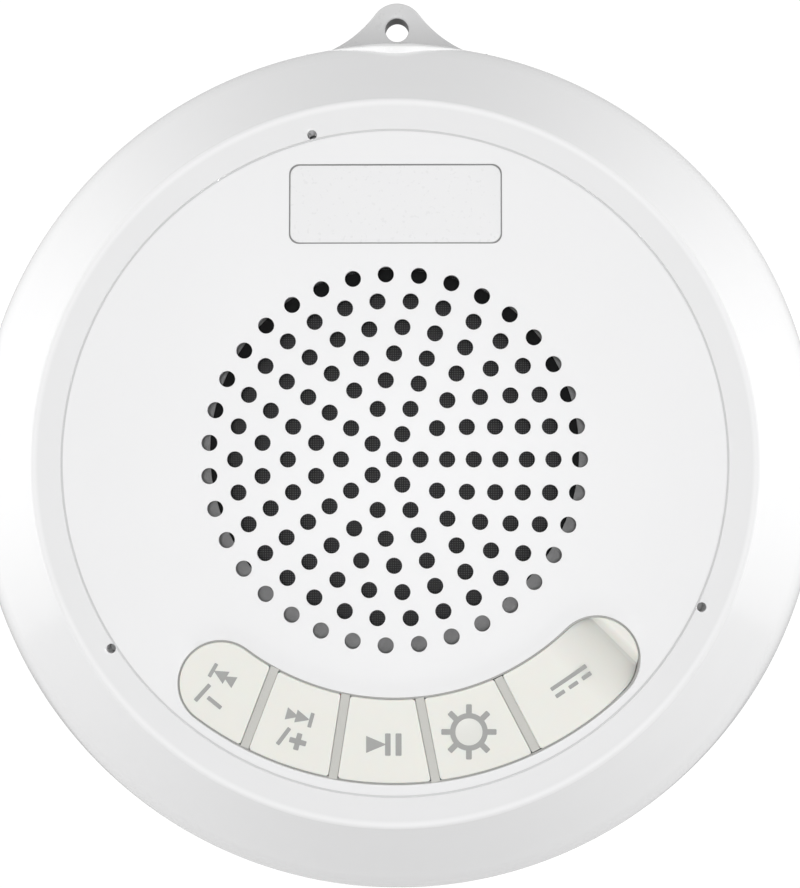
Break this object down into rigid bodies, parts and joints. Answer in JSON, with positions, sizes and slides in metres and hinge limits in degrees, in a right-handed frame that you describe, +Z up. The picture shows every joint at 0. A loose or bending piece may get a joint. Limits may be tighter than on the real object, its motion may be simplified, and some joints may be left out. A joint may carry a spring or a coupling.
{
  "type": "shower speaker",
  "caption": "Round hanging splash-proof wireless speaker: perforated panel, arc of silicone keys, hinged port flap, hanging tab and frosted light dome.",
  "frame": {"origin": "centre of the hanging hole in the tab, at the middle of the tab's thickness", "axes": "+Z up through the tab, -Y out of the perforated front panel, +Y out of the rear dome, +X to the right as seen from the front"},
  "size_m": [0.1421, 0.0812, 0.1498],
  "materials": {
    "shell_white": "high-gloss white ABS",
    "panel_white": "satin white ABS",
    "dome_frost": "frosted translucent polycarbonate",
    "seal_grey": "soft grey rubber gasket",
    "label_grey": "smooth blank printed film",
    "key_silicone": "cream translucent silicone, satin",
    "cloth_black": "fine woven black mesh",
    "foam_grey": "closed-cell foam",
    "basket_steel": "black painted pressed steel",
    "plated_steel": "zinc plated steel",
    "ferrite": "sintered ferrite",
    "rubber_black": "matt butyl rubber",
    "spider_cloth": "resin-treated corrugated cloth",
    "board_brown": "phenolic board",
    "screw_steel": "zinc plated",
    "cone_paper": "coated paper pulp",
    "coil_copper": "enamelled copper wire on a former",
    "inner_white": "moulded white ABS",
    "board_green": "glass-epoxy board with solder mask",
    "shield_tin": "tinned steel",
    "chip_black": "moulded epoxy",
    "connector_nylon": "natural nylon",
    "cell_wrap": "heat-shrink sleeve over a steel can",
    "tape_amber": "polyimide tape",
    "membrane_white": "breathable membrane",
    "lamp_board_white": "white solder mask on aluminium",
    "led_yellow": "phosphor in silicone",
    "lead_red": "PVC insulation",
    "lead_white": "PVC insulation",
    "lead_black": "PVC insulation"
  },
  "bodies": {
    "housing": {"front_shell": "shell_white", "front_panel": "panel_white", "rear_dome": "dome_frost", "housing_seal": "seal_grey", "panel_seal": "seal_grey", "face_label": "label_grey", "key_web": "key_silicone", "cloth_ring": "foam_grey", "speaker_cloth": "cloth_black", "speaker_gasket": "foam_grey", "driver_basket": "basket_steel", "driver_top_plate": "plated_steel", "driver_magnet": "ferrite", "driver_yoke": "plated_steel", "driver_surround": "rubber_black", "driver_spider": "spider_cloth", "driver_terminal": "board_brown", "driver_screws": "screw_steel", "deck": "inner_white", "deck_screws": "screw_steel", "main_board": "board_green", "bluetooth_module": "shield_tin", "amplifier_chip": "chip_black", "capacitors": "chip_black", "board_connectors": "connector_nylon", "board_screws": "screw_steel", "battery_cell": "cell_wrap", "battery_cradle": "inner_white", "battery_tape": "tape_amber", "key_board": "board_green", "key_switches": "chip_black", "key_plungers": "chip_black", "key_board_screws": "screw_steel", "socket_shell": "shield_tin", "socket_tongue": "chip_black", "microphone": "shield_tin", "microphone_boot": "rubber_black", "vent_membranes": "membrane_white", "lamp_board": "lamp_board_white", "lamp_leds": "led_yellow", "lamp_screws": "screw_steel", "light_reflector": "inner_white", "speaker_lead": "lead_red", "battery_lead": "lead_red", "light_lead": "lead_white", "key_lead": "lead_white", "microphone_lead": "lead_black"},
    "volume_down": {"volume_down_key": "key_silicone"},
    "volume_up": {"volume_up_key": "key_silicone"},
    "play": {"play_key": "key_silicone"},
    "light": {"light_key": "key_silicone"},
    "flap": {"port_flap": "key_silicone"},
    "cone": {"driver_cone": "cone_paper", "driver_dust_cap": "cone_paper", "voice_coil": "coil_copper"}
  },
  "joints": [
    {"name": "volume_down_press", "type": "slide", "parent": "housing", "child": "volume_down", "axis": [0, 1, 0], "range_m": [0, 0.0006], "stiffness_N_per_m": 600},
    {"name": "volume_up_press", "type": "slide", "parent": "housing", "child": "volume_up", "axis": [0, 1, 0], "range_m": [0, 0.0006], "stiffness_N_per_m": 600},
    {"name": "play_press", "type": "slide", "parent": "housing", "child": "play", "axis": [0, 1, 0], "range_m": [0, 0.0006], "stiffness_N_per_m": 600},
    {"name": "light_press", "type": "slide", "parent": "housing", "child": "light", "axis": [0, 1, 0], "range_m": [0, 0.0006], "stiffness_N_per_m": 600},
    {"name": "flap_hinge", "type": "hinge", "parent": "housing", "child": "flap", "pos_m": [0.01857, -0.0331, -0.11216], "axis": [0.4602, 0, -0.8878], "range_deg": [0, 100]},
    {"name": "cone_stroke", "type": "slide", "parent": "housing", "child": "cone", "axis": [0, -1, 0], "range_m": [-0.001, 0.001], "stiffness_N_per_m": 900}
  ]
}
